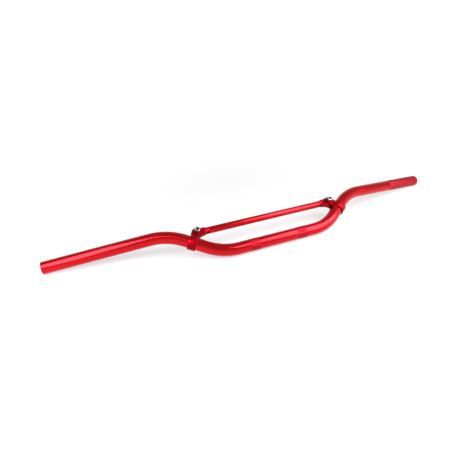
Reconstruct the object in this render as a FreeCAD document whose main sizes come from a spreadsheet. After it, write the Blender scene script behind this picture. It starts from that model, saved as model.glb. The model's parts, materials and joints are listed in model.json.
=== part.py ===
"""Motocross handlebar: a bent alloy tube with a bolted crossbar, lying as it comes to rest.

Millimetres. The bar is drawn upright in its own frame, X along the bar, Y up the
risers and Z to the front, and each piece's Placement then leans it back until the
clamp section and both grip ends touch the table. The origin is the middle of the
clamp section, on the tube's axis.
"""
import FreeCAD, Part
import math
import os
import Sketcher

from FreeCAD import Placement, Rotation, Vector

X = Vector(1, 0, 0)
Y = Vector(0, 1, 0)
Z = Vector(0, 0, 1)

# Driving dimensions

SIZES = {
    # the bent tube
    "bar_width": 800.0,
    "bar_height": 77.0,
    "bar_sweep": 37.0,
    "riser_rise": 60.5,
    "bend_spacing": 213.4,
    "shoulder_spacing": 379.2,
    "bend_radius": 92.0,
    "shoulder_radius": 107.0,
    "tube_diameter": 22.2,
    "tube_wall": 4.0,
    "end_chamfer": 0.8,
    # the crossbar
    "crossbar_height": 50.8,
    "crossbar_diameter": 12.7,
    "crossbar_wall": 2.0,
    "spigot_length": 16.0,
    "spigot_clearance": 0.05,
    # the lug at each end of the crossbar
    "lug_thickness": 6.0,
    "lug_eye_radius": 9.0,
    "lug_neck": 5.0,
    "lug_flare": 9.0,
    "lug_foot_reach": 8.5,
    "lug_foot_gap": 1.5,
    "lug_corner_radius": 2.5,
    "lug_shoulder_angle": 20.0,
    # the clamp on each riser
    "clamp_reach": 22.386,
    "clamp_run_in": 1.0,
    "clamp_width": 14.0,
    "clamp_wall": 2.3,
    "clamp_clearance": 0.05,
    "ear_thickness": 4.5,
    "ear_radius": 6.2,
    "ear_clearance": 0.1,
    # the bolt and its nut
    "bolt_diameter": 6.0,
    "bolt_clearance": 0.2,
    "bolt_head_diameter": 10.0,
    "bolt_head_height": 6.0,
    "bolt_tip": 2.0,
    "hex_key": 5.0,
    "hex_key_depth": 3.2,
    "nut_width": 10.0,
    "nut_height": 5.0,
    "nut_collar_height": 1.5,
    "nut_collar_diameter": 9.4,
}


class Numbers:
    """The driving dimensions by name, as plain numbers."""

    def __init__(self, values):
        self.__dict__.update(values)


n = Numbers(SIZES)

doc = FreeCAD.newDocument("handlebar")
sheet = doc.addObject("Spreadsheet::Sheet", "Sizes")
for row, (alias, value) in enumerate(SIZES.items(), start=1):
    sheet.set(f"A{row}", str(value))
    sheet.setAlias(f"A{row}", alias)
doc.recompute()

# The bar's bending line, drawn upright: vertices of the right half, which the left half mirrors

tube_radius = n.tube_diameter / 2
lower_vertex = Vector(n.bend_spacing / 2, 0, 0)
shoulder_vertex = Vector(n.shoulder_spacing / 2, n.riser_rise, 0)
bar_end = Vector(n.bar_width / 2, n.bar_height, -n.bar_sweep)
riser_angle = math.atan2(n.riser_rise, shoulder_vertex.x - lower_vertex.x)
riser_line = Vector(math.cos(riser_angle), math.sin(riser_angle), 0)
riser_normal = Vector(-math.sin(riser_angle), math.cos(riser_angle), 0)


def lying_lean():
    """The angle in degrees that brings the lowest point of each end down to the table."""
    leg = (bar_end - shoulder_vertex).normalize()
    rim = bar_end - leg * n.end_chamfer
    reach = math.hypot(rim.y, rim.z)
    lean = math.atan2(-rim.z, rim.y)
    for _ in range(4):
        dip = leg.y * math.sin(lean) + leg.z * math.cos(lean)
        lift = tube_radius * (1 - math.sqrt(1 - dip * dip))
        lean = math.atan2(-rim.z, rim.y) - math.asin(lift / reach)
    return math.degrees(lean)


lying = Placement(Vector(), Rotation(X, lying_lean()))
print(f"lean {lying_lean():.2f} degrees, riser at {math.degrees(riser_angle):.1f} degrees")

# Helpers for bodies


def new_body(name):
    body = doc.addObject("PartDesign::Body", name)
    body.Label = name
    return body


def origin_plane(body, role):
    return next(item for item in body.Origin.OriginFeatures if item.Role == role)


def axes(origin, x_axis, normal):
    """A Placement with its X and Z along the given directions."""
    return Placement(origin, Rotation(x_axis, normal.cross(x_axis), normal, "ZXY"))


def new_sketch(body, name, place):
    sketch = body.newObject("Sketcher::SketchObject", name)
    sketch.AttachmentSupport = [(origin_plane(body, "XY_Plane"), "")]
    sketch.MapMode = "FlatFace"
    sketch.AttachmentOffset = place
    return sketch


def bind(sketch, constraint, expression):
    """Add a constraint whose value follows the sheet."""
    index = sketch.addConstraint(constraint)
    sketch.setExpression(f"Constraints[{index}]", expression)


def circle(sketch, diameter, expression, x=0.0, x_expression=None):
    """A circle on the sketch's horizontal axis, x from its origin."""
    index = sketch.addGeometry(Part.Circle(Vector(x, 0, 0), Z, diameter / 2))
    bind(sketch, Sketcher.Constraint("Diameter", index, diameter), expression)
    if x_expression is None:
        sketch.addConstraint(Sketcher.Constraint("Coincident", index, 3, -1, 1))
    else:
        sketch.addConstraint(Sketcher.Constraint("PointOnObject", index, 3, -1))
        bind(sketch, Sketcher.Constraint("DistanceX", -1, 1, index, 3, x), x_expression)
    return index


def outline(sketch, points):
    """A closed run of straight lines through the points."""
    last = len(points) - 1
    for i, start in enumerate(points):
        sketch.addGeometry(Part.LineSegment(start, points[0 if i == last else i + 1]))
    for i in range(len(points)):
        following = 0 if i == last else i + 1
        sketch.addConstraint(Sketcher.Constraint("Coincident", i, 2, following, 1))


def pad(body, name, sketch, length, expression=None, both_ways=False):
    feature = body.newObject("PartDesign::Pad", name)
    feature.Profile = sketch
    feature.Length = length
    if expression:
        feature.setExpression("Length", expression)
    feature.Midplane = both_ways
    return feature


def pocket(body, name, sketch, length, expression=None, both_ways=False):
    """A cut along the sketch's back side, or to both sides of it."""
    feature = body.newObject("PartDesign::Pocket", name)
    feature.Profile = sketch
    feature.Length = length
    if expression:
        feature.setExpression("Length", expression)
    feature.Midplane = both_ways
    return feature


def edges_where(shape, test):
    """The names of a shape's edges that pass a test."""
    return [f"Edge{i}" for i, edge in enumerate(shape.Edges, start=1) if test(edge)]


def dress(body, kind, name, base, names, expression):
    """A Fillet or a Chamfer on named edges of the feature before it."""
    feature = body.newObject(f"PartDesign::{kind}", name)
    feature.Base = (base, names)
    feature.setExpression("Radius" if kind == "Fillet" else "Size", expression)
    return feature


# The main tube: a round tube bent at four places, both ends open


def tube_section(sketch, x=0.0, x_expression=None):
    bore = n.tube_diameter - 2 * n.tube_wall
    circle(sketch, n.tube_diameter, "Sizes.tube_diameter", x, x_expression)
    circle(sketch, bore, "Sizes.tube_diameter - 2 * Sizes.tube_wall", x, x_expression)


def straight_run(body, name, start, end, expression=None):
    along = (end - start).normalize()
    side = Y.cross(along).normalize()
    sketch = new_sketch(body, name + "_section", axes(start, side, along))
    tube_section(sketch)
    return pad(body, name, sketch, (end - start).Length, expression)


def tangent_length(incoming, outgoing, radius):
    return radius * math.tan(incoming.getAngle(outgoing) / 2)


def bend(body, name, vertex, incoming, outgoing, radius, alias):
    """The tube turned about the axis of its bend, from one straight run to the next."""
    start = vertex - incoming * tangent_length(incoming, outgoing, radius)
    inward = (outgoing - incoming * outgoing.dot(incoming)).normalize()
    centre = start + inward * radius
    sketch = new_sketch(body, name + "_section", axes(centre, -inward, -incoming))
    tube_section(sketch, radius, f"Sizes.{alias}")
    feature = body.newObject("PartDesign::Revolution", name)
    feature.Profile = sketch
    feature.ReferenceAxis = (sketch, ["V_Axis"])
    feature.Angle = math.degrees(incoming.getAngle(outgoing))
    return feature


def mirrored(vector):
    return Vector(-vector.x, vector.y, vector.z)


def main_tube():
    body = new_body("main_tube")
    riser = (shoulder_vertex - lower_vertex).normalize()
    leg = (bar_end - shoulder_vertex).normalize()
    lower_cut = tangent_length(X, riser, n.bend_radius)
    shoulder_cut = tangent_length(riser, leg, n.shoulder_radius)
    clamp_end = lower_vertex - X * lower_cut
    straight_run(body, "clamp_section", -clamp_end, clamp_end)
    riser_start = lower_vertex + riser * lower_cut
    riser_end = shoulder_vertex - riser * shoulder_cut
    leg_start = shoulder_vertex + leg * shoulder_cut
    sides = (("left", lambda vector: vector), ("right", mirrored))
    for side, place in sides:
        bend(body, f"{side}_bend", place(lower_vertex), place(X), place(riser),
             n.bend_radius, "bend_radius")
        straight_run(body, f"{side}_riser", place(riser_start), place(riser_end))
        bend(body, f"{side}_shoulder", place(shoulder_vertex), place(riser), place(leg),
             n.shoulder_radius, "shoulder_radius")
        last = straight_run(body, f"{side}_leg", place(leg_start), place(bar_end))
    doc.recompute()
    ends = [bar_end, mirrored(bar_end)]

    def end_rim(edge):
        is_circle = hasattr(edge.Curve, "Center")
        return is_circle and any(edge.Curve.Center.isEqual(end, 1e-4) for end in ends)

    rims = edges_where(last.Shape, end_rim)
    dress(body, "Chamfer", "deburred_ends", last, rims, "Sizes.end_chamfer")
    body.Placement = lying
    return body


# The clamp: a split ring round the riser, with two ears for the bolt

# It is made for one distance from tube to bolt, so a lower crossbar puts it further down the
# riser, but it stays on the riser's straight run, and near the bends the ears grow instead.

riser_length = (shoulder_vertex - lower_vertex).Length
first_station = n.bend_radius * math.tan(riser_angle / 2) + n.clamp_width / 2 + n.clamp_run_in
leg_turn = riser_line.getAngle(bar_end - shoulder_vertex)
last_station = (riser_length - n.shoulder_radius * math.tan(leg_turn / 2)
                - n.clamp_width / 2 - n.clamp_run_in)
natural_station = (n.crossbar_height - n.clamp_reach * riser_normal.y) / riser_line.y
clamp_station = max(first_station, min(last_station, natural_station))
bolt_reach = (n.crossbar_height - clamp_station * riser_line.y) / riser_normal.y
print(f"clamp at {clamp_station:.2f} mm of the riser, its bolt {bolt_reach:.2f} mm from the line")
ring_bore = n.tube_diameter + 2 * n.clamp_clearance
ring_radius = ring_bore / 2 + n.clamp_wall
slot_width = n.lug_thickness + 2 * n.ear_clearance
ears_across = slot_width + 2 * n.ear_thickness
bolt_hole = n.bolt_diameter + 2 * n.bolt_clearance


def clamp_frame(side):
    """The clamp's own frame: X along the riser, Y towards the crossbar, Z to the front."""
    line = riser_line if side > 0 else mirrored(riser_line) * -1
    normal = riser_normal if side > 0 else mirrored(riser_normal)
    foot = lower_vertex + riser_line * clamp_station
    foot = foot if side > 0 else mirrored(foot)
    return Placement(foot, Rotation(line, normal, Z, "ZXY"))


def ear_sketch(body, name):
    """The ears seen along the bolt: straight sides up to a round end about it."""
    sketch = new_sketch(body, name, Placement())
    r = n.ear_radius
    low = Vector(-r, 0, 0)
    high = Vector(r, 0, 0)
    eye = Vector(0, bolt_reach, 0)
    sketch.addGeometry(Part.LineSegment(low, high))
    sketch.addGeometry(Part.LineSegment(high, eye + X * r))
    sketch.addGeometry(Part.Arc(eye + X * r, eye + Y * r, eye - X * r))
    sketch.addGeometry(Part.LineSegment(eye - X * r, low))
    return sketch


def crossbar_clamp(name, side):
    body = new_body(name)
    ring = new_sketch(body, "ring_section", axes(Vector(), Y, X))
    circle(ring, 2 * ring_radius,
           "Sizes.tube_diameter + 2 * Sizes.clamp_clearance + 2 * Sizes.clamp_wall")
    pad(body, "ring", ring, n.clamp_width, "Sizes.clamp_width", both_ways=True)
    pad(body, "ears", ear_sketch(body, "ear_outline"), ears_across,
        "Sizes.lug_thickness + 2 * Sizes.ear_clearance + 2 * Sizes.ear_thickness",
        both_ways=True)
    bore = new_sketch(body, "bore_section", axes(Vector(), Y, X))
    circle(bore, ring_bore, "Sizes.tube_diameter + 2 * Sizes.clamp_clearance")
    pocket(body, "bore", bore, 2 * n.clamp_width, "2 * Sizes.clamp_width", both_ways=True)
    slot = new_sketch(body, "slot_outline", axes(Vector(), Y, X))
    top = bolt_reach + 2 * n.ear_radius
    outline(slot, [Vector(0, -slot_width / 2, 0), Vector(top, -slot_width / 2, 0),
                   Vector(top, slot_width / 2, 0), Vector(0, slot_width / 2, 0)])
    pocket(body, "slot", slot, 2 * n.clamp_width, "2 * Sizes.clamp_width", both_ways=True)
    hole = new_sketch(body, "bolt_hole_section", Placement(Vector(0, bolt_reach, 0), Rotation()))
    circle(hole, bolt_hole, "Sizes.bolt_diameter + 2 * Sizes.bolt_clearance")
    pocket(body, "bolt_hole", hole, 2 * ears_across, both_ways=True)
    body.Placement = lying * clamp_frame(side)
    return body


# The crossbar: a straight tube with a lug pressed into each end

bolt_centre = lower_vertex + riser_line * clamp_station + riser_normal * bolt_reach
lug_inner = n.lug_eye_radius + n.lug_flare
crossbar_half = bolt_centre.x - lug_inner - n.lug_neck
crossbar_bore = n.crossbar_diameter - 2 * n.crossbar_wall


def crossbar():
    body = new_body("crossbar_tube")
    start = Vector(-crossbar_half, n.crossbar_height, 0)
    sketch = new_sketch(body, "crossbar_section", axes(start, Y, X))
    circle(sketch, n.crossbar_diameter, "Sizes.crossbar_diameter")
    circle(sketch, crossbar_bore, "Sizes.crossbar_diameter - 2 * Sizes.crossbar_wall")
    pad(body, "crossbar_run", sketch, 2 * crossbar_half)
    body.Placement = lying
    return body


def hollow_arc(start, end):
    """A concave arc that leaves start along the crossbar and ends at end."""
    run = end.x - start.x
    rise = end.y - start.y
    radius = (run ** 2 + rise ** 2) / (2 * abs(rise))
    half_turn = math.asin(run / radius) / 2
    lift = math.copysign(radius * (1 - math.cos(half_turn)), rise)
    return Part.Arc(start, start + Vector(radius * math.sin(half_turn), lift, 0), end)


def blade_top(eye, half):
    """Where the hollow over the blade runs into the round of its eye."""
    hollow = (lug_inner ** 2 + half ** 2 - eye ** 2) / (2 * (eye - half))
    return Vector(-lug_inner, half + hollow, 0).normalize() * eye


def lug_blade_sketch(body):
    """The flat blade: it fans from the neck to an eye at the bolt and a foot over the riser."""
    sketch = new_sketch(body, "blade_outline", Placement())
    eye = n.lug_eye_radius
    half = n.crossbar_diameter / 2
    foot_drop = bolt_reach - ring_radius - n.lug_foot_gap
    heel = riser_line * eye - riser_normal * foot_drop
    toe = riser_line * -n.lug_foot_reach - riser_normal * foot_drop
    neck_top = Vector(-lug_inner, half, 0)
    neck_foot = Vector(-lug_inner, -half, 0)
    top = blade_top(eye, half)
    side = riser_line * eye
    sketch.addGeometry(Part.LineSegment(neck_foot, neck_top))
    sketch.addGeometry(hollow_arc(neck_top, top))
    sketch.addGeometry(Part.Arc(top, (top + side).normalize() * eye, side))
    sketch.addGeometry(Part.LineSegment(side, heel))
    sketch.addGeometry(Part.LineSegment(heel, toe))
    sketch.addGeometry(hollow_arc(neck_foot, toe))
    return sketch, heel, toe


def trim_faces(body):
    """Thin the blank from the neck's thickness down to the blade's, in one hollow curve a side."""
    half = n.crossbar_diameter / 2
    flat = n.lug_thickness / 2
    start = -lug_inner
    end = start + n.lug_flare
    step = half - flat
    radius = (n.lug_flare ** 2 + step ** 2) / (2 * step)
    sweep = math.asin(n.lug_flare / radius) / 2
    middle = Vector(end - radius * math.sin(sweep), flat + radius * (1 - math.cos(sweep)), 0)
    far = n.crossbar_height
    for face, turn in (("front", 1), ("rear", -1)):
        sketch = new_sketch(body, f"{face}_trim", axes(Vector(), X, Y * turn))
        sketch.addGeometry(Part.Arc(Vector(start, half, 0), middle, Vector(end, flat, 0)))
        sketch.addGeometry(Part.LineSegment(Vector(end, flat, 0), Vector(far, flat, 0)))
        sketch.addGeometry(Part.LineSegment(Vector(far, flat, 0), Vector(far, far, 0)))
        sketch.addGeometry(Part.LineSegment(Vector(far, far, 0), Vector(start, far, 0)))
        sketch.addGeometry(Part.LineSegment(Vector(start, far, 0), Vector(start, half, 0)))
        pocket(body, f"{face}_face", sketch, 2 * far, both_ways=True)


def round_shoulder(body):
    """Turn the corners off where the square blank meets the round neck."""
    half = n.crossbar_diameter / 2
    rise = lug_inner * math.tan(math.radians(n.lug_shoulder_angle))
    sketch = new_sketch(body, "shoulder_turning", axes(Vector(), X, Z))
    outline(sketch, [Vector(-lug_inner, half, 0), Vector(0, half + rise, 0),
                     Vector(-lug_inner, half + rise, 0)])
    groove = body.newObject("PartDesign::Groove", "round_shoulder")
    groove.Profile = sketch
    groove.ReferenceAxis = (sketch, ["H_Axis"])
    groove.Angle = 360


def crossbar_lug(name, side):
    body = new_body(name)
    blade_outline, heel, toe = lug_blade_sketch(body)
    blank = pad(body, "blank", blade_outline, n.crossbar_diameter, "Sizes.crossbar_diameter",
                both_ways=True)
    doc.recompute()

    def foot_corner(edge):
        middle = edge.CenterOfMass
        flat = Vector(middle.x, middle.y, 0)
        upright = edge.BoundBox.ZLength > n.lug_thickness / 2
        return upright and min((flat - heel).Length, (flat - toe).Length) < 1e-3

    dress(body, "Fillet", "foot_corners", blank, edges_where(blank.Shape, foot_corner),
          "Sizes.lug_corner_radius")
    trim_faces(body)
    round_shoulder(body)
    neck_start = Vector(-lug_inner - n.lug_neck, 0, 0)
    neck = new_sketch(body, "neck_section", axes(neck_start, Y, X))
    circle(neck, n.crossbar_diameter, "Sizes.crossbar_diameter")
    pad(body, "neck", neck, n.lug_neck, "Sizes.lug_neck")
    spigot = new_sketch(body, "spigot_section",
                        axes(neck_start - X * n.spigot_length, Y, X))
    circle(spigot, crossbar_bore - 2 * n.spigot_clearance,
           "Sizes.crossbar_diameter - 2 * Sizes.crossbar_wall - 2 * Sizes.spigot_clearance")
    pad(body, "spigot", spigot, n.spigot_length, "Sizes.spigot_length")
    hole = new_sketch(body, "eye_section", Placement())
    circle(hole, bolt_hole, "Sizes.bolt_diameter + 2 * Sizes.bolt_clearance")
    pocket(body, "eye", hole, 2 * n.lug_thickness, "2 * Sizes.lug_thickness", both_ways=True)
    turn = Rotation() if side > 0 else Rotation(Y, 180)
    centre = bolt_centre if side > 0 else mirrored(bolt_centre)
    body.Placement = lying * Placement(centre, turn)
    return body


# The bolt and its nut, on an axis square to the plane of the risers


def bolt_frame(side):
    centre = bolt_centre if side > 0 else mirrored(bolt_centre)
    return Placement(centre, Rotation())


def hexagon(sketch, across_flats):
    corner = across_flats / math.sqrt(3)
    outline(sketch, [Vector(corner * math.cos(math.radians(60 * k)),
                            corner * math.sin(math.radians(60 * k)), 0) for k in range(6)])


def clamp_bolt(name, side):
    """A socket-head screw, its head on the front ear and its point through the nut."""
    body = new_body(name)
    seat = ears_across / 2
    top = seat + n.bolt_head_height
    point = -seat - n.nut_height - n.bolt_tip
    head = new_sketch(body, "head_section", Placement(Vector(0, 0, seat), Rotation()))
    circle(head, n.bolt_head_diameter, "Sizes.bolt_head_diameter")
    pad(body, "head", head, n.bolt_head_height, "Sizes.bolt_head_height")
    shank = new_sketch(body, "shank_section", Placement(Vector(0, 0, point), Rotation()))
    circle(shank, n.bolt_diameter, "Sizes.bolt_diameter")
    pad(body, "shank", shank, seat - point)
    socket = new_sketch(body, "socket_outline", Placement(Vector(0, 0, top), Rotation()))
    hexagon(socket, n.hex_key)
    pocket(body, "socket", socket, n.hex_key_depth, "Sizes.hex_key_depth")
    body.Placement = lying * bolt_frame(side)
    return body


def clamp_nut(name, side):
    """A lock nut: a hexagon with a round collar, against the rear ear."""
    body = new_body(name)
    seat = -ears_across / 2
    hex_height = n.nut_height - n.nut_collar_height
    hexa = new_sketch(body, "nut_outline", Placement(Vector(0, 0, seat - hex_height), Rotation()))
    hexagon(hexa, n.nut_width)
    pad(body, "nut", hexa, hex_height, "Sizes.nut_height - Sizes.nut_collar_height")
    collar = new_sketch(body, "collar_section",
                        Placement(Vector(0, 0, seat - n.nut_height), Rotation()))
    circle(collar, n.nut_collar_diameter, "Sizes.nut_collar_diameter")
    pad(body, "collar", collar, n.nut_height - n.nut_collar_height / 2)
    thread = new_sketch(body, "thread_section", Placement(Vector(0, 0, seat), Rotation()))
    circle(thread, n.bolt_diameter, "Sizes.bolt_diameter")
    pocket(body, "thread", thread, 2 * n.nut_height, "2 * Sizes.nut_height", both_ways=True)
    body.Placement = lying * bolt_frame(side)
    return body


# Build, check and write

pieces = [main_tube(), crossbar()]
for suffix, side in (("left", 1), ("right", -1)):
    pieces.append(crossbar_lug(f"crossbar_lug_{suffix}", side))
    pieces.append(crossbar_clamp(f"crossbar_clamp_{suffix}", side))
    pieces.append(clamp_bolt(f"clamp_bolt_{suffix}", side))
    pieces.append(clamp_nut(f"clamp_nut_{suffix}", side))
doc.recompute()

for item in doc.Objects:
    if "Invalid" in item.State or "Error" in item.State:
        raise RuntimeError(f"{item.Label} is {item.State}")
for piece in pieces:
    if piece.Shape.isNull() or not piece.Shape.isValid():
        raise RuntimeError(f"{piece.Label} has no valid shape")
    if len(piece.Shape.Solids) != 1:
        raise RuntimeError(f"{piece.Label} has {len(piece.Shape.Solids)} solids")

os.makedirs("parts", exist_ok=True)
for piece in pieces:
    piece.Shape.exportStep(os.path.join("parts", piece.Label + ".step"))
    box = piece.Shape.BoundBox
    print(f"{piece.Label}: {piece.Shape.Volume / 1000:.2f} cm3, "
          f"{box.XLength:.1f} x {box.YLength:.1f} x {box.ZLength:.1f} mm")
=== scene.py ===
# %% [markdown]
# # A motocross handlebar, lying on a white table
#
# The object is one bent alloy tube, anodised red, with a thinner crossbar bolted across its two
# risers. It lies on its clamp section and on its two ends. The CAD model gives every size and
# place. This lesson dresses it: the tubes are drawn out again with smooth walls, the knurls and
# threads are added, and each metal gets the finish that the real one has.

# %% The frame
import json
import math

import bpy
from mathutils import Matrix, Vector

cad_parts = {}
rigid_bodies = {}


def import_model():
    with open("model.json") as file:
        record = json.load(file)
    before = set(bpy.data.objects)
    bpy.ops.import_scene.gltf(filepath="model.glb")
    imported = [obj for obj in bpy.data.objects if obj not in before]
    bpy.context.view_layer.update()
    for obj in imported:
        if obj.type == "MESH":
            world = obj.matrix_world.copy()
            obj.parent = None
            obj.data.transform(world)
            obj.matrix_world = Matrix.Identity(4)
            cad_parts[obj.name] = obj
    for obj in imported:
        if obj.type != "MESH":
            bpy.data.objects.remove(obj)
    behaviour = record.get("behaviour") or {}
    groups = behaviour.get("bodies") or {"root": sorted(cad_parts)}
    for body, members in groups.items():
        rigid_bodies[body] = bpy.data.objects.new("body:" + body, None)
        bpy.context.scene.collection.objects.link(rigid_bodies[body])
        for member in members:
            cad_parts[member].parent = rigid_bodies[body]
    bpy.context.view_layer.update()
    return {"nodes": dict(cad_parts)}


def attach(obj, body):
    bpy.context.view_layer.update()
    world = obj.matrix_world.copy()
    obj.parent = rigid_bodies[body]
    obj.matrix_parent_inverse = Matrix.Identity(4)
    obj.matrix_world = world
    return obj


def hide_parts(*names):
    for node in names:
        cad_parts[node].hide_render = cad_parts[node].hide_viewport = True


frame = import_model()
MM = 0.001

# %% [markdown]
# ## The camera
#
# The picture was taken from in front and a little to the side, about thirty degrees up, with a
# normal lens. The camera is placed by its direction and distance from a point near the middle
# of the bar, and rolled a touch, as a hand-held or slightly tilted camera is. Its lens is as
# long as its sensor is wide, which gives a view of 53 degrees.

# %% Camera
AZIMUTH = math.radians(-22.944)
ELEVATION = math.radians(30.031)
ROLL = math.radians(-1.331)
DISTANCE = 0.80249
LOOK_AT = Vector((-0.087165, 0.036481, 0.030662))
SENSOR_WIDTH = 36
FOCAL_LENGTH = 36
NEAREST = 0.01
FARTHEST = 100

back = Vector((math.sin(AZIMUTH) * math.cos(ELEVATION),
               -math.cos(AZIMUTH) * math.cos(ELEVATION), math.sin(ELEVATION)))
level_right = Vector((math.cos(AZIMUTH), math.sin(AZIMUTH), 0))
level_up = back.cross(level_right)
right = level_right * math.cos(ROLL) + level_up * math.sin(ROLL)
camera_data = bpy.data.cameras.new("camera")
camera_data.sensor_width = SENSOR_WIDTH
camera_data.sensor_height = SENSOR_WIDTH
camera_data.lens = FOCAL_LENGTH
camera_data.clip_start = NEAREST
camera_data.clip_end = FARTHEST
camera = bpy.data.objects.new("camera", camera_data)
bpy.context.scene.collection.objects.link(camera)
facing = Matrix((right, back.cross(right), back)).transposed().to_4x4()
camera.matrix_world = Matrix.Translation(LOOK_AT + back * DISTANCE) @ facing
bpy.context.scene.camera = camera
print("camera at", [round(v, 3) for v in camera.matrix_world.translation])

# %% [markdown]
# ## Helpers for modelling by hand
#
# Blender's operators act on what is selected, so each step first clears the selection and then
# picks faces, edges or points by where they are. Every finished piece keeps its object at the
# origin and rides on the one body of this part.


# %% Taking and opening a piece
HAIR = 0.001 * MM


def start_clean():
    """Leave edit mode with nothing selected."""
    if bpy.context.object and bpy.context.object.mode != "OBJECT":
        bpy.ops.object.mode_set(mode="OBJECT")
    bpy.ops.object.select_all(action="DESELECT")


def take(piece):
    """Select one piece alone, for the next operator to work on."""
    start_clean()
    piece.select_set(True)
    bpy.context.view_layer.objects.active = piece


def settle(piece):
    """Move the place of an object into its mesh, which leaves the object at the origin."""
    take(piece)
    bpy.ops.object.transform_apply(location=True, rotation=True, scale=True)


def name_new(name):
    """Name the primitive that was just added, and settle it."""
    piece = bpy.context.object
    piece.name = name
    piece.data.name = name
    settle(piece)
    return piece


def edit(piece, kind="VERT", everything=False):
    """Open a piece for shaping, with all or none of it selected."""
    take(piece)
    bpy.ops.object.mode_set(mode="EDIT")
    bpy.ops.mesh.select_mode(type=kind)
    bpy.ops.mesh.select_all(action="SELECT" if everything else "DESELECT")


print("a hair is", round(HAIR / MM, 4), "mm")


# %% Selecting by place
def pick(piece, kind, test):
    """Select what passes a test, and count it.

    A point is tested by its place, an edge by its middle and its run, and a face by its
    middle and its normal.
    """
    edit(piece, kind)
    bpy.ops.object.mode_set(mode="OBJECT")
    mesh = piece.data
    chosen = 0
    if kind == "VERT":
        for point in mesh.vertices:
            point.select = bool(test(point.co))
            chosen += point.select
    elif kind == "EDGE":
        for edge in mesh.edges:
            first, second = (mesh.vertices[i].co for i in edge.vertices)
            edge.select = bool(test((first + second) / 2, second - first))
            chosen += edge.select
    else:
        for face in mesh.polygons:
            face.select = bool(test(face.center, face.normal))
            chosen += face.select
    bpy.ops.object.mode_set(mode="EDIT")
    return chosen


# %% Shaping and finishing
SMOOTH_BELOW = 30
DOUBLES = 5 * HAIR


def extrude(move):
    """Draw what is selected out by a vector."""
    bpy.ops.mesh.extrude_region_move(TRANSFORM_OT_translate={"value": move})


def scale_round(factor):
    """Scale what is selected about the Z axis."""
    bpy.ops.transform.resize(value=(factor, factor, 1), center_override=(0, 0, 0))


def add_modifier(piece, kind, **settings):
    """Put one modifier on a piece and apply it."""
    take(piece)
    modifier = piece.modifiers.new(kind.lower(), kind)
    for setting, value in settings.items():
        setattr(modifier, setting, value)
    bpy.ops.object.modifier_apply(modifier=modifier.name)


def smooth(piece, degrees=SMOOTH_BELOW):
    """Shade a piece smoothly, except over edges that turn by more than an angle."""
    take(piece)
    bpy.ops.object.shade_smooth_by_angle(angle=math.radians(degrees))


def face_outwards(piece):
    """Merge the points that coincide and turn every face to the outside."""
    edit(piece, "FACE", everything=True)
    bpy.ops.mesh.remove_doubles(threshold=DOUBLES)
    bpy.ops.mesh.normals_make_consistent(inside=False)
    start_clean()


print("edges stay sharp above", SMOOTH_BELOW, "degrees")


# %% [markdown]
# ## The plane of the bar
#
# The bar was bent flat in one plane first, and only its two legs leave that plane a little, so
# it is easiest to draw upright: X along the clamp section, Y up the risers. When it lies down,
# the plane leans back by about twenty-five and a half degrees, until the ends touch the table.
# Every piece is made upright and then laid down by the same turn.

# %% Sizes of the bar
TUBE_RADIUS = 11.1 * MM
TUBE_WALL = 4 * MM
LOWER_VERTEX = Vector((106.7, 0, 0)) * MM
SHOULDER_VERTEX = Vector((189.6, 60.5, 0)) * MM
BAR_END = Vector((400, 77, -37)) * MM
LOWER_RADIUS = 92 * MM
SHOULDER_RADIUS = 107 * MM
LEAN = math.radians(25.5432)


def lay_down(piece):
    """Turn a piece from the upright drawing to the way the bar lies."""
    piece.rotation_euler = (LEAN, 0, 0)
    settle(piece)


print("the plane leans back by", round(math.degrees(LEAN), 2), "degrees")


# %% [markdown]
# ## The bent tube
#
# The real bar starts as a straight drawn tube and is bent at four places round a former. The
# model follows the same order: a ring of points is extruded along each straight run and spun
# about the axis of each bend. One half is made and mirrored, the wall is given its thickness
# inwards, and the sharp rims of the two ends are broken.

# %% Straight runs and bends
RING_POINTS = 96
BEND_STEPS = 32
FACING_X = (0, math.pi / 2, 0)
riser_way = (SHOULDER_VERTEX - LOWER_VERTEX).normalized()
leg_way = (BAR_END - SHOULDER_VERTEX).normalized()


def cut_back(incoming, outgoing, radius):
    """How far before its vertex a bend starts."""
    return radius * math.tan(incoming.angle(outgoing) / 2)


def bend(start, incoming, outgoing, radius):
    """Spin the selected ring from one direction to the next, about the bend's own axis."""
    inward = (outgoing - incoming * outgoing.dot(incoming)).normalized()
    bpy.ops.mesh.spin(steps=BEND_STEPS, angle=incoming.angle(outgoing),
                      center=start + inward * radius, axis=inward.cross(incoming))


side_way = Vector((1, 0, 0))
lower_cut = cut_back(side_way, riser_way, LOWER_RADIUS)
shoulder_cut = cut_back(riser_way, leg_way, SHOULDER_RADIUS)
clamp_end = LOWER_VERTEX - side_way * lower_cut
riser_start = LOWER_VERTEX + riser_way * lower_cut
riser_end = SHOULDER_VERTEX - riser_way * shoulder_cut
leg_start = SHOULDER_VERTEX + leg_way * shoulder_cut
print("riser is straight for", round((riser_end - riser_start).length / MM, 1), "mm")

# %% Half of the bar
start_clean()
bpy.ops.mesh.primitive_circle_add(vertices=RING_POINTS, radius=TUBE_RADIUS, rotation=FACING_X)
bar = name_new("bar")
edit(bar, everything=True)
extrude(clamp_end)
bend(clamp_end, side_way, riser_way, LOWER_RADIUS)
extrude(riser_end - riser_start)
bend(riser_end, riser_way, leg_way, SHOULDER_RADIUS)
extrude(BAR_END - leg_start)
start_clean()
reach = [round(max(v.co[i] for v in bar.data.vertices) / MM, 2) for i in range(3)]
print("half bar reaches", reach)

# %% [markdown]
# A knurl is rolled into the tube, so its crests stand where the plain wall was and its troughs
# lie below it. The wall is cut across at the borders of each knurled zone and shrunk a little
# in between, which leaves a shallow seat that the knurl fills. The clamp section has two such
# bands, and the rider's left end has a long one that keeps a rubber grip from turning.

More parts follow.
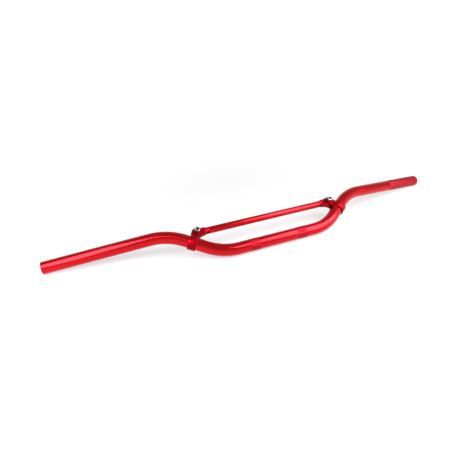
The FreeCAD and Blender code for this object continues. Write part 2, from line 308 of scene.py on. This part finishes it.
# %% Mirror the half and roll down the knurled zones
KNURL_DEPTH = 0.14 * MM
KNURL_RUN_IN = 0.12 * MM
CLAMP_KNURL_CENTRE = 48 * MM
CLAMP_KNURL_WIDTH = 18 * MM
GRIP_KNURL_START = 92 * MM
GRIP_KNURL_END = 4 * MM

add_modifier(bar, "MIRROR", use_axis=(True, False, False), use_mirror_merge=True,
             merge_threshold=10 * HAIR)
face_outwards(bar)


def cut_across(piece, point, way):
    """Cut the faces of a piece along a plane through a point."""
    edit(piece, "FACE", everything=True)
    bpy.ops.mesh.bisect(plane_co=point, plane_no=way)


def roll_down(piece, first, last):
    """Shrink the tube by the depth of the knurl from one point of its line to another."""
    way = (last - first).normalized()
    length = (last - first).length
    for offset in (0, KNURL_RUN_IN, length - KNURL_RUN_IN, length):
        cut_across(piece, first + way * offset, way)

    def in_seat(point):
        along = (point - first).dot(way)
        off_line = (point - first - way * along).length
        inside = KNURL_RUN_IN / 2 < along < length - KNURL_RUN_IN / 2
        return inside and off_line < 2 * TUBE_RADIUS

    count = pick(piece, "VERT", in_seat)
    bpy.ops.transform.shrink_fatten(value=-KNURL_DEPTH)
    start_clean()
    print("rolled down", count, "points over", round(length / MM, 1), "mm")


half_band = side_way * CLAMP_KNURL_WIDTH / 2
bands = [(side_way * centre - half_band, side_way * centre + half_band)
         for centre in (-CLAMP_KNURL_CENTRE, CLAMP_KNURL_CENTRE)]
bands.append((BAR_END - leg_way * GRIP_KNURL_START, BAR_END - leg_way * GRIP_KNURL_END))
for first, last in bands:
    roll_down(bar, first, last)

# %% Give the tube its wall and break its rims
END_CHAMFER = 0.8 * MM
CHAMFER_STEPS = 3
ON_RIM = 0.1 * MM

add_modifier(bar, "SOLIDIFY", thickness=TUBE_WALL, offset=-1, use_even_offset=True)
mirrored_end = Vector((-BAR_END.x, BAR_END.y, BAR_END.z))


def end_rim(middle, along):
    """The outer and inner edge of the tube at one of its two ends."""
    near = min((middle - BAR_END).length, (middle - mirrored_end).length)
    on_circle = min(abs(near - TUBE_RADIUS), abs(near - TUBE_RADIUS + TUBE_WALL)) < ON_RIM
    return on_circle and along.length < TUBE_WALL / 2


print("rim edges:", pick(bar, "EDGE", end_rim))
bpy.ops.mesh.bevel(offset=END_CHAMFER, segments=CHAMFER_STEPS, affect="EDGES")
lay_down(bar)
smooth(bar)
print("bar:", len(bar.data.polygons), "faces")

# %% [markdown]
# ## The knurls
#
# A diamond knurl is a grid of small pyramids. It starts as a fine grid of squares round a
# cylinder. Poking every square and joining the triangles again across the old edges turns the
# grid by forty-five degrees, and poking once more, this time outwards, raises a point on each
# diamond. One recipe makes all three zones, with the same pitch.

# %% Knurled sleeves
KNURL_PITCH = 1.16 * MM
KNURL_BACK = 0.25 * MM
KNURL_POINTS = round(2 * math.pi * TUBE_RADIUS / KNURL_PITCH)
ANY_ANGLE = math.pi


def knurl(name, first, last):
    """A knurled sleeve that fills a seat rolled into the tube."""
    inset = KNURL_RUN_IN / 2
    length = (last - first).length - 2 * inset
    rows = round(length / KNURL_PITCH)
    trough = TUBE_RADIUS - KNURL_DEPTH
    start_clean()
    bpy.ops.mesh.primitive_cylinder_add(vertices=KNURL_POINTS, radius=trough, depth=length,
                                        end_fill_type="NOTHING")
    sleeve = name_new(name)
    pick(sleeve, "EDGE", lambda middle, along: abs(along.z) > length / 2)
    bpy.ops.mesh.subdivide(number_cuts=rows - 1)
    add_modifier(sleeve, "SOLIDIFY", thickness=KNURL_BACK, offset=-1)
    pick(sleeve, "FACE", lambda middle, normal: middle.xy.length > trough - KNURL_BACK / 2
         and abs(normal.z) < 0.5)
    bpy.ops.mesh.poke()
    bpy.ops.mesh.tris_convert_to_quads(face_threshold=ANY_ANGLE, shape_threshold=ANY_ANGLE)
    bpy.ops.mesh.poke(offset=KNURL_DEPTH)
    sleeve.rotation_euler = (last - first).to_track_quat("Z", "Y").to_euler()
    sleeve.location = (first + last) / 2
    settle(sleeve)
    lay_down(sleeve)
    print(name, "has", len(sleeve.data.polygons), "faces")
    return sleeve


knurls = [knurl(name, first, last) for name, (first, last)
          in zip(("clamp_knurl_right", "clamp_knurl_left", "grip_knurl_left"), bands)]

# %% [markdown]
# ## The crossbar
#
# The crossbar is a plain thin tube, as long as the gap between the necks of its two lugs. Its
# rims are broken, so a fine line shows where it meets each lug.

# %% Crossbar
CLAMP_STATION = 55.5 * MM
CLAMP_REACH = 22.386 * MM
CROSSBAR_RADIUS = 6.35 * MM
CROSSBAR_WALL = 2 * MM
CROSSBAR_RIM = 0.35 * MM
SMALL_RING_POINTS = 64
LUG_REACH = 23 * MM

riser_normal = Vector((-riser_way.y, riser_way.x, 0))
bolt_centre = LOWER_VERTEX + riser_way * CLAMP_STATION + riser_normal * CLAMP_REACH
crossbar_half = bolt_centre.x - LUG_REACH
start_clean()
bpy.ops.mesh.primitive_circle_add(vertices=SMALL_RING_POINTS, radius=CROSSBAR_RADIUS,
                                  location=(-crossbar_half, bolt_centre.y, 0),
                                  rotation=FACING_X)
crossbar = name_new("crossbar")
edit(crossbar, everything=True)
extrude((2 * crossbar_half, 0, 0))
face_outwards(crossbar)
add_modifier(crossbar, "SOLIDIFY", thickness=CROSSBAR_WALL, offset=-1)
pick(crossbar, "EDGE", lambda middle, along: abs(abs(middle.x) - crossbar_half) < HAIR
     and along.length < CROSSBAR_WALL / 2)
bpy.ops.mesh.bevel(offset=CROSSBAR_RIM, segments=CHAMFER_STEPS, affect="EDGES")
lay_down(crossbar)
smooth(crossbar)
print("crossbar is", round(2 * crossbar_half / MM, 1), "mm long")

# %% [markdown]
# ## Bolts
#
# Each clamp is closed by a socket-head screw. Its head is a turned cylinder with fine flutes for
# the fingers and a hexagon socket for the key, and its point ends in a few turns of thread. It
# is drawn as rings, each one extruded from the last: up the head from its underside and over
# its rounded edge, then into the socket, and then down the shank to the point. The rounded
# edge passes the middle of its arc, 0.7 of the way up and 0.3 of the way in. The flutes are
# every other point of the head drawn in a little, and the thread is every other ring.

# %% Sizes of a bolt
HEAD_POINTS = 60
HEAD_RADIUS = 5 * MM
HEAD_HEIGHT = 6 * MM
HEAD_ROUND = 0.45 * MM
ARC_LONG = 0.7
ARC_SHORT = 0.3
FLUTE_SHRINK = 0.97
KEY_RADIUS = 2.887 * MM
KEY_DEPTH = 3 * MM
SHANK_RADIUS = 3 * MM
EARS_HALF = 7.6 * MM
NUT_HEIGHT = 5 * MM
BOLT_TIP = 2 * MM
THREAD_PITCH = 1 * MM
THREAD_TURNS = 2
THREAD_SHRINK = 0.87
print("shank", round(2 * SHANK_RADIUS / MM), "mm thick, head", round(2 * HEAD_RADIUS / MM), "mm")


# %% Drawing by rings
def ring(radius, level, points):
    """Add a ring of points at a level, flat across Z."""
    bpy.ops.mesh.primitive_circle_add(vertices=points, radius=radius, location=(0, 0, level))


def step(rise, factor=1.0):
    """Extrude the selected ring along Z and scale it about the axis."""
    extrude((0, 0, rise))
    if factor != 1.0:
        scale_round(factor)


# %% The head of the bolt
head_top = EARS_HALF + HEAD_HEIGHT
flat_radius = HEAD_RADIUS - HEAD_ROUND
arc_radius = HEAD_RADIUS - HEAD_ROUND * ARC_SHORT
mouth_radius = KEY_RADIUS + HEAD_ROUND
start_clean()
ring(flat_radius, EARS_HALF, HEAD_POINTS)
bolt = name_new("clamp_screw_left")
edit(bolt, everything=True)
step(HEAD_ROUND, HEAD_RADIUS / flat_radius)
step(HEAD_ROUND)
step(HEAD_HEIGHT - 4 * HEAD_ROUND)
step(HEAD_ROUND)
step(HEAD_ROUND * ARC_LONG, arc_radius / HEAD_RADIUS)
step(HEAD_ROUND * ARC_SHORT, flat_radius / arc_radius)
step(0, mouth_radius / flat_radius)


def in_flute(point):
    """Whether a point is an odd one round the head, away from the head's two edges."""
    odd = round(math.atan2(point.y, point.x) * HEAD_POINTS / math.tau) % 2
    return odd and EARS_HALF + 1.5 * HEAD_ROUND < point.z < head_top - 1.5 * HEAD_ROUND


print("fluted points on the head:", pick(bolt, "VERT", in_flute))
scale_round(FLUTE_SHRINK)

# %% The socket
KEY_SIDES = 6
socket_level = head_top - HEAD_ROUND / 2


def pick_ring(piece, level):
    """Select the edges that lie flat at a level."""
    return pick(piece, "EDGE", lambda middle, along: abs(middle.z - level) < HAIR
                and abs(along.z) < HAIR)


bpy.ops.mesh.select_all(action="DESELECT")
ring(KEY_RADIUS, socket_level, KEY_SIDES)
pick(bolt, "EDGE", lambda middle, along: middle.z > head_top - HEAD_ROUND
     and abs(along.z) < HAIR and middle.xy.length < mouth_radius)
bpy.ops.mesh.bridge_edge_loops()
print("edges round the key:", pick_ring(bolt, socket_level))
step(-KEY_DEPTH)
bpy.ops.mesh.edge_face_add()
bpy.ops.mesh.poke(offset=-HEAD_ROUND)

# %% The shank and the thread
thread_length = (THREAD_TURNS + 1) * THREAD_PITCH
pick_ring(bolt, EARS_HALF)
step(0, SHANK_RADIUS / flat_radius)
step(thread_length - BOLT_TIP - NUT_HEIGHT - 2 * EARS_HALF)
for _ in range(THREAD_TURNS):
    step(-THREAD_PITCH / 2, THREAD_SHRINK)
    step(-THREAD_PITCH / 2, 1 / THREAD_SHRINK)
step(-THREAD_PITCH / 2, THREAD_SHRINK)
step(-THREAD_PITCH / 2)
bpy.ops.mesh.edge_face_add()
face_outwards(bolt)
point_level = min(v.co.z for v in bolt.data.vertices)
print("bolt from", round(point_level / MM, 2), "to", round(head_top / MM, 2), "mm")

# %% Where shade is painted on the zinc
PLAIN = 0
SHADE_SLOT = 1
flute_floor = HEAD_RADIUS * FLUTE_SHRINK ** 2


def gets_painted_shade(middle):
    """Whether a face lies in the socket or on the fluted band of the head, where shade is
    painted.
    """
    out = middle.xy.length
    in_socket = out < KEY_RADIUS and EARS_HALF < middle.z < socket_level
    on_band = out > flute_floor and EARS_HALF + HEAD_ROUND < middle.z < head_top - HEAD_ROUND
    return in_socket or on_band


# Faces in the socket and on the fluted band take the second slot, a zinc with painted shade; the
# count printed below is of these faces.
for face in bolt.data.polygons:
    face.material_index = SHADE_SLOT if gets_painted_shade(face.center) else PLAIN
print("dull faces:", sum(face.material_index == SHADE_SLOT for face in bolt.data.polygons))

# %% [markdown]
# ## Lock nuts
#
# Behind the rear ear a lock nut holds each bolt. It is a hexagon whose corners are turned off by
# a cone, and a round collar that grips a nylon ring. The hexagon is cut by keeping only what is
# also inside a turned blank, which is how its real corners get their curve.

# %% The hexagon of a nut
NUT_WIDTH = 10 * MM
NUT_HEX_HEIGHT = 3.5 * MM
NUT_SIDES = 6
NUT_TURNED = 0.5 * MM
NUT_FLARE = 1.2

start_clean()
bpy.ops.mesh.primitive_cylinder_add(vertices=NUT_SIDES, radius=NUT_WIDTH / math.sqrt(3),
                                    depth=NUT_HEX_HEIGHT,
                                    location=(0, 0, -EARS_HALF - NUT_HEX_HEIGHT / 2))
nut = name_new("lock_nut_left")
start_clean()
ring(NUT_WIDTH / 2 + NUT_TURNED / 4, -EARS_HALF, RING_POINTS)
blank = name_new("turned_blank")
edit(blank, everything=True)
bpy.ops.mesh.edge_face_add()
step(-NUT_TURNED, NUT_FLARE)
step(-NUT_HEX_HEIGHT + 2 * NUT_TURNED)
step(-NUT_TURNED, 1 / NUT_FLARE)
face_outwards(blank)
add_modifier(nut, "BOOLEAN", operation="INTERSECT", object=blank, solver="EXACT")
bpy.data.objects.remove(blank)
print("hexagon:", len(nut.data.polygons), "faces")

# %% The collar of the nut
COLLAR_RADIUS = 4.6 * MM
NYLON_RADIUS = 3.9 * MM

edit(nut)
ring(COLLAR_RADIUS, -EARS_HALF - NUT_HEX_HEIGHT + NUT_TURNED, RING_POINTS)
bpy.ops.mesh.edge_face_add()
step(-NUT_TURNED)
step(NUT_HEX_HEIGHT - NUT_HEIGHT + NUT_TURNED)
step(-NUT_TURNED, NYLON_RADIUS / COLLAR_RADIUS)
step(NUT_TURNED)
face_outwards(nut)
print("nut:", len(nut.data.polygons), "faces")

# %% The nylon ring
NYLON_RISE = 0.2 * MM
NYLON_ROUND = 0.1 * MM
NYLON_SHRINK = 0.96
NYLON_INSIDE = 0.15 * MM

ring(NYLON_RADIUS, -EARS_HALF - NUT_HEIGHT + NUT_TURNED, SMALL_RING_POINTS)
nylon = name_new("nylon_ring_left")
edit(nylon, everything=True)
bpy.ops.mesh.edge_face_add()
step(-NYLON_RISE)
step(-NYLON_ROUND, NYLON_SHRINK)
step(0, SHANK_RADIUS / (NYLON_SHRINK * NYLON_RADIUS))
step(NYLON_INSIDE)
face_outwards(nylon)
print("nylon ring:", len(nylon.data.polygons), "faces")

# %% Both sides
ROUNDED_BELOW = 40
LEFT = 1
RIGHT = -1
small_parts = []
for part, degrees in ((bolt, ROUNDED_BELOW), (nut, SMOOTH_BELOW), (nylon, ROUNDED_BELOW)):
    other = part.copy()
    other.data = part.data.copy()
    other.name = part.name.replace("left", "right")
    other.data.name = other.name
    bpy.context.scene.collection.objects.link(other)
    for piece, side in ((part, LEFT), (other, RIGHT)):
        piece.location = (side * bolt_centre.x, bolt_centre.y, 0)
        settle(piece)
        lay_down(piece)
        smooth(piece, degrees)
        small_parts.append(piece)
print("small parts:", [piece.name for piece in small_parts])

# %% [markdown]
# ## Forged lugs and split clamps
#
# The lugs and the clamps already have their real shape in the CAD model, but its edges are
# perfectly sharp. A forging is tumbled before it is anodised, so every edge is a little round.
# Each one is copied, its loose triangles are merged, flat faces are cleaned up, and a small
# bevel rounds the edges.

# %% Softened forgings
FORGING_ROUND = 0.45 * MM
FORGING_STEPS = 3
FLAT_BELOW = 1
ROUND_ABOVE = 32
FORGING_SMOOTH_BELOW = 35


def forging(name, node_name):
    """A copy of a CAD solid with its edges rounded."""
    source = frame["nodes"][node_name]
    piece = bpy.data.objects.new(name, source.data.copy())
    piece.data.name = name
    bpy.context.scene.collection.objects.link(piece)
    edit(piece, "FACE", everything=True)
    bpy.ops.mesh.remove_doubles(threshold=HAIR)
    bpy.ops.mesh.dissolve_limited(angle_limit=math.radians(FLAT_BELOW))
    add_modifier(piece, "BEVEL", width=FORGING_ROUND, segments=FORGING_STEPS,
                 limit_method="ANGLE", angle_limit=math.radians(ROUND_ABOVE),
                 harden_normals=False)
    smooth(piece, FORGING_SMOOTH_BELOW)
    print(name, "has", len(piece.data.polygons), "faces")
    return piece


forgings = {node_name: forging(node_name.replace("crossbar_", "forged_"), node_name)
            for node_name in ("crossbar_lug_left", "crossbar_lug_right",
                              "crossbar_clamp_left", "crossbar_clamp_right")}

# %% [markdown]
# ## Shader maths
#
# A finish is a small network of nodes. Its numbers are written as sums and products: the class
# below wraps a socket, and an expression on it adds the Math nodes. Every other node comes from
# one method, which sets the node up first and then fills or links its sockets. Patterns read
# object coordinates in metres, so a scale of 1000 has one speck in about a millimetre.


# %% Values
class Value:
    """A number that changes over a surface, as the socket that gives it."""

    def __init__(self, nodes, socket):
        self.nodes = nodes
        self.socket = socket

    def combine(self, operation, first, second):
        """Add a Math node for two numbers or values."""
        node = self.nodes.add("ShaderNodeMath", {"operation": operation}, {0: first, 1: second})
        return Value(self.nodes, node.outputs[0])

    def __add__(self, other):
        return self.combine("ADD", self, other)

    def __sub__(self, other):
        return self.combine("SUBTRACT", self, other)

    def __rsub__(self, other):
        return self.combine("SUBTRACT", other, self)

    def __mul__(self, other):
        return self.combine("MULTIPLY", self, other)

    __radd__ = __add__
    __rmul__ = __mul__


# %% Nodes
NOISE_DETAIL = 3.0
NOISE_ROUGHNESS = 0.6
COLOUR_A = 6
COLOUR_B = 7
MIXED_COLOUR = 2


class Nodes:
    """The nodes of one material or of the studio."""

    def __init__(self, owner):
        self.owner = owner
        owner.use_nodes = True
        self.tree = owner.node_tree
        self.tree.nodes.clear()

    def add(self, kind, settings=None, sockets=None):
        """Add a node of a type, set it up, then give its sockets values or links."""
        node = self.tree.nodes.new(kind)
        for setting, value in (settings or {}).items():
            setattr(node, setting, value)
        for name, value in (sockets or {}).items():
            value = value.socket if isinstance(value, Value) else value
            if isinstance(value, bpy.types.NodeSocket):
                self.tree.links.new(value, node.inputs[name])
            else:
                node.inputs[name].default_value = value
        return node

    def place(self, scale=(1, 1, 1)):
        """Object coordinates, stretched by a scale along each axis."""
        source = self.add("ShaderNodeTexCoord").outputs["Object"]
        return self.add("ShaderNodeMapping", {}, {"Vector": source, "Scale": scale}).outputs[0]

    def noise(self, vector, scale):
        """Cloudy noise between 0 and 1."""
        node = self.add("ShaderNodeTexNoise", {},
                        {"Vector": vector, "Scale": scale, "Detail": NOISE_DETAIL,
                         "Roughness": NOISE_ROUGHNESS})
        return Value(self, node.outputs["Fac"])

    def between(self, value, low, high):
        """How far a value lies from one bound to the other, as a smooth step from 0 to 1."""
        node = self.add("ShaderNodeMapRange", {"interpolation_type": "SMOOTHSTEP"},
                        {"Value": value, "From Min": low, "From Max": high})
        return Value(self, node.outputs["Result"])

    def blend(self, factor, first, second):
        """A colour that goes from the first to the second."""
        node = self.add("ShaderNodeMix", {"data_type": "RGBA"},
                        {0: factor, COLOUR_A: first, COLOUR_B: second})
        return node.outputs[MIXED_COLOUR]

    def bump(self, height, distance, strength):
        """A normal that is tilted as if the surface had a height."""
        node = self.add("ShaderNodeBump", {},
                        {"Height": height, "Distance": distance, "Strength": strength})
        return node.outputs["Normal"]


# %% Finishes
def finish(name):
    """The empty nodes of a new material."""
    return Nodes(bpy.data.materials.new(name))


def metal_or_plastic(nodes, **sockets):
    """Close a finish with one Principled shader, its sockets set or linked."""
    named = {name.replace("_", " "): value for name, value in sockets.items()}
    shader = nodes.add("ShaderNodeBsdfPrincipled", {}, named)
    nodes.add("ShaderNodeOutputMaterial", {}, {"Surface": shader.outputs[0]})
    return nodes.owner


def paint(piece, material):
    """Give a piece its finish."""
    piece.data.materials.clear()
    piece.data.materials.append(material)


# %% [markdown]
# ## Red anodised tube
#
# Anodising grows a thin clear layer out of the metal and dyes it, so the colour is deep and the
# metal still shines through. A tinted metal under a faint clear coat looks like that. The tube
# was drawn and polished before it was dyed, which leaves very fine lines along it, so the noise
# is stretched along the bar, and the dye takes a little more in some places than in others.

# %% Tube finish
TUBE_DYE = ((0.56, 0.002, 0.006, 1), (0.64, 0.0035, 0.010, 1))
KNURL_DYE = ((0.34, 0.002, 0.010, 1), (0.41, 0.003, 0.014, 1))
FORGED_DYE = ((0.27, 0.0008, 0.006, 1), (0.32, 0.001, 0.008, 1))
DRAWN_LINES = (60, 2400, 2400)
KNURL_GRAIN = (900, 900, 900)
FORGED_GRAIN = (1500, 1500, 1500)
DYE_PATCHES = 18.0
COAT_ROUGHNESS = 0.1
SCRATCH_DEPTH = 0.01 * MM
SCRATCH_STRENGTH = 0.3


def anodised(name, dye, lines, roughness, spread, coat):
    """Anodised metal with fine lines or grain, given by the stretch of its noise."""
    nodes = finish(name)
    grain = nodes.noise(nodes.place(lines), 1.0)
    depth = nodes.noise(nodes.place(), DYE_PATCHES)
    return metal_or_plastic(
        nodes,
        Base_Color=nodes.blend(depth, *dye),
        Metallic=1.0,
        Roughness=roughness - spread / 2 + spread * grain,
        Coat_Weight=coat,
        Coat_Roughness=COAT_ROUGHNESS,
        Normal=nodes.bump(grain, SCRATCH_DEPTH, SCRATCH_STRENGTH),
    )


tube_red = anodised("anodised_red_tube", TUBE_DYE, DRAWN_LINES,
                    roughness=0.16, spread=0.05, coat=0.24)
knurl_red = anodised("anodised_red_knurl", KNURL_DYE, KNURL_GRAIN,
                     roughness=0.4, spread=0.08, coat=0.16)
forged_red = anodised("anodised_red_forging", FORGED_DYE, FORGED_GRAIN,
                      roughness=0.46, spread=0.06, coat=0.05)
tubes = ((bar, "main_tube", "tube_red"), (crossbar, "crossbar_tube", "crossbar_red"))
for piece, node_name, slot_name in tubes:
    paint(piece, tube_red)
    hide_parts(node_name)
for piece in knurls:
    paint(piece, knurl_red)
for node_name, piece in forgings.items():
    paint(piece, forged_red)
    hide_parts(node_name)
print("red pieces:", len(tubes) + len(knurls) + len(forgings))

# %% [markdown]
# ## Zinc and nylon
#
# The screws and nuts are steel with a grey zinc plating, which shines but is never quite even.
# The socket and the fluted band get a much darker and rougher zinc, which is painted shade
# there. The ring in each nut is milky nylon.

# %% Zinc and nylon finishes
BRIGHT_ZINC = ((0.42, 0.42, 0.41, 1), (0.58, 0.58, 0.57, 1))
# Near-black zinc for the socket and the fluted band: painted shade.
ZINC_PAINTED_SHADE = ((0.06, 0.055, 0.055, 1), (0.16, 0.15, 0.15, 1))
MILKY = ((0.62, 0.63, 0.60, 1), (0.78, 0.79, 0.76, 1))
ZINC_CLOUDS = 900.0
NYLON_CLOUDS = 600.0


def plated(name, colours, roughness, spread):
    """Zinc over steel, clouded between the colours of a thin and a thick plating."""
    nodes = finish(name)
    cloud = nodes.noise(nodes.place(), ZINC_CLOUDS)
    return metal_or_plastic(
        nodes,
        Base_Color=nodes.blend(cloud, *colours),
        Metallic=1.0,
        Roughness=roughness - spread / 2 + spread * cloud,
        Normal=nodes.bump(cloud, SCRATCH_DEPTH, SCRATCH_STRENGTH),
    )


zinc_bright = plated("zinc_bright", BRIGHT_ZINC, roughness=0.16, spread=0.08)
# The second zinc, much darker and rougher, carries the painted shade of the socket and the
# flutes.
zinc_shaded = plated("zinc_in_grooves", ZINC_PAINTED_SHADE, roughness=0.4, spread=0.2)
nylon_nodes = finish("milky_nylon")
haze = nylon_nodes.noise(nylon_nodes.place(), NYLON_CLOUDS)
milky_nylon = metal_or_plastic(
    nylon_nodes,
    Base_Color=nylon_nodes.blend(haze, *MILKY),
    Roughness=0.4 + 0.1 * haze,
    Normal=nylon_nodes.bump(haze, SCRATCH_DEPTH, SCRATCH_STRENGTH),
)

# %% Finish the small parts
for piece in small_parts:
    side = piece.name.rsplit("_", 1)[1]
    if "nylon" in piece.name:
        paint(piece, milky_nylon)
        continue
    replaced = "clamp_bolt_" if "screw" in piece.name else "clamp_nut_"
    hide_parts(replaced + side)
    kept_places = [face.material_index for face in piece.data.polygons]
    paint(piece, zinc_bright)
    # The second slot holds the zinc with painted shade.
    piece.data.materials.append(zinc_shaded)
    for face, place in zip(piece.data.polygons, kept_places):
        face.material_index = place
made = (bar, crossbar, *knurls, *forgings.values(), *small_parts)
for piece in made:
    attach(piece, "root")
print("pieces on the body:", len(made))

# %% [markdown]
# ## Table and light
#
# The bar was photographed on a white table against white. Two soft boxes stand near it, to the
# left and to the right of the camera. Each draws a bright line along the tube, which widens and
# fades with the distance to the box. Between them and overhead the studio is dim, which leaves
# the deep red in between, and towards the horizon it is as white as the table. The table is a
# grey sheet that also glows by itself: near the bar the soft boxes light it up to white, so the
# bar's soft shadow shows, and further off, where their light fades, the glow grows.

# %% Table
TABLE_LEVEL = -TUBE_RADIUS
TABLE_SIZE = 24
TABLE_GREY = (0.26, 0.26, 0.26, 1)
NEAR_GLOW = (0.52, 0.52, 0.52, 1)
FAR_GLOW = (0.95, 0.95, 0.95, 1)
GLOW_GROWS_FROM = 0.2
GLOW_FULL_AT = 0.8
start_clean()
bpy.ops.mesh.primitive_plane_add(size=TABLE_SIZE, location=(0, 0, TABLE_LEVEL))
table = bpy.context.object
table.name = "table"
table_nodes = finish("white_table")
distance = table_nodes.add("ShaderNodeVectorMath", {"operation": "LENGTH"},
                           {0: table_nodes.place()})
far = table_nodes.between(distance.outputs["Value"], GLOW_GROWS_FROM, GLOW_FULL_AT)
table.data.materials.append(metal_or_plastic(
    table_nodes, Base_Color=TABLE_GREY, Roughness=0.9, Specular_IOR_Level=0.1,
    Emission_Color=table_nodes.blend(far, NEAR_GLOW, FAR_GLOW), Emission_Strength=1.0))
print("table at", round(TABLE_LEVEL / MM, 1), "mm")

# %% Lights
def soft_box(name, azimuth, elevation, away, width, height, radiance):
    """A soft box by its direction in degrees, its distance and size, and how bright it looks.

    An area light that looks as bright as 1 gives out pi watts from each square metre.
    """
    turn = math.radians(azimuth)
    rise = math.radians(elevation)
    light = bpy.data.lights.new(name, "AREA")
    light.shape = "RECTANGLE"
    light.size = width
    light.size_y = height
    light.energy = radiance * math.pi * width * height
    lamp = bpy.data.objects.new(name, light)
    bpy.context.scene.collection.objects.link(lamp)
    way = Vector((math.sin(turn) * math.cos(rise), -math.cos(turn) * math.cos(rise),
                  math.sin(rise)))
    lamp.location = way * away
    lamp.rotation_euler = way.to_track_quat("Z", "Y").to_euler()
    print(name, "is", width, "by", height, "m and", away, "m away")


soft_box("left_soft_box", azimuth=-75, elevation=38, away=0.75,
         width=0.50, height=0.54, radiance=9)
soft_box("right_soft_box", azimuth=56, elevation=42, away=0.55,
         width=0.44, height=0.54, radiance=8)

# %% Studio
LOW_LEVEL = 0.95
HIGH_LEVEL = 0.5
DIMS_FROM = 0.1
DIM_ABOVE = 0.75
WHITE = (1, 1, 1, 1)
world = bpy.data.worlds.new("studio")
bpy.context.scene.world = world
studio = Nodes(world)
direction = studio.add("ShaderNodeTexCoord").outputs["Generated"]
height = studio.add("ShaderNodeSeparateXYZ", {}, {0: direction}).outputs["Z"]
level = LOW_LEVEL - (LOW_LEVEL - HIGH_LEVEL) * studio.between(height, DIMS_FROM, DIM_ABOVE)
lit = studio.add("ShaderNodeBackground", {}, {"Strength": level, "Color": WHITE})
seen = studio.add("ShaderNodeBackground", {}, {"Strength": 1.0, "Color": WHITE})
to_camera = studio.add("ShaderNodeLightPath").outputs["Is Camera Ray"]
both = studio.add("ShaderNodeMixShader", {},
                  {0: to_camera, 1: lit.outputs[0], 2: seen.outputs[0]})
studio.add("ShaderNodeOutputWorld", {}, {"Surface": both.outputs[0]})
bpy.context.scene.view_settings.view_transform = "Standard"
print("studio from", LOW_LEVEL, "at the horizon to", HIGH_LEVEL, "overhead")
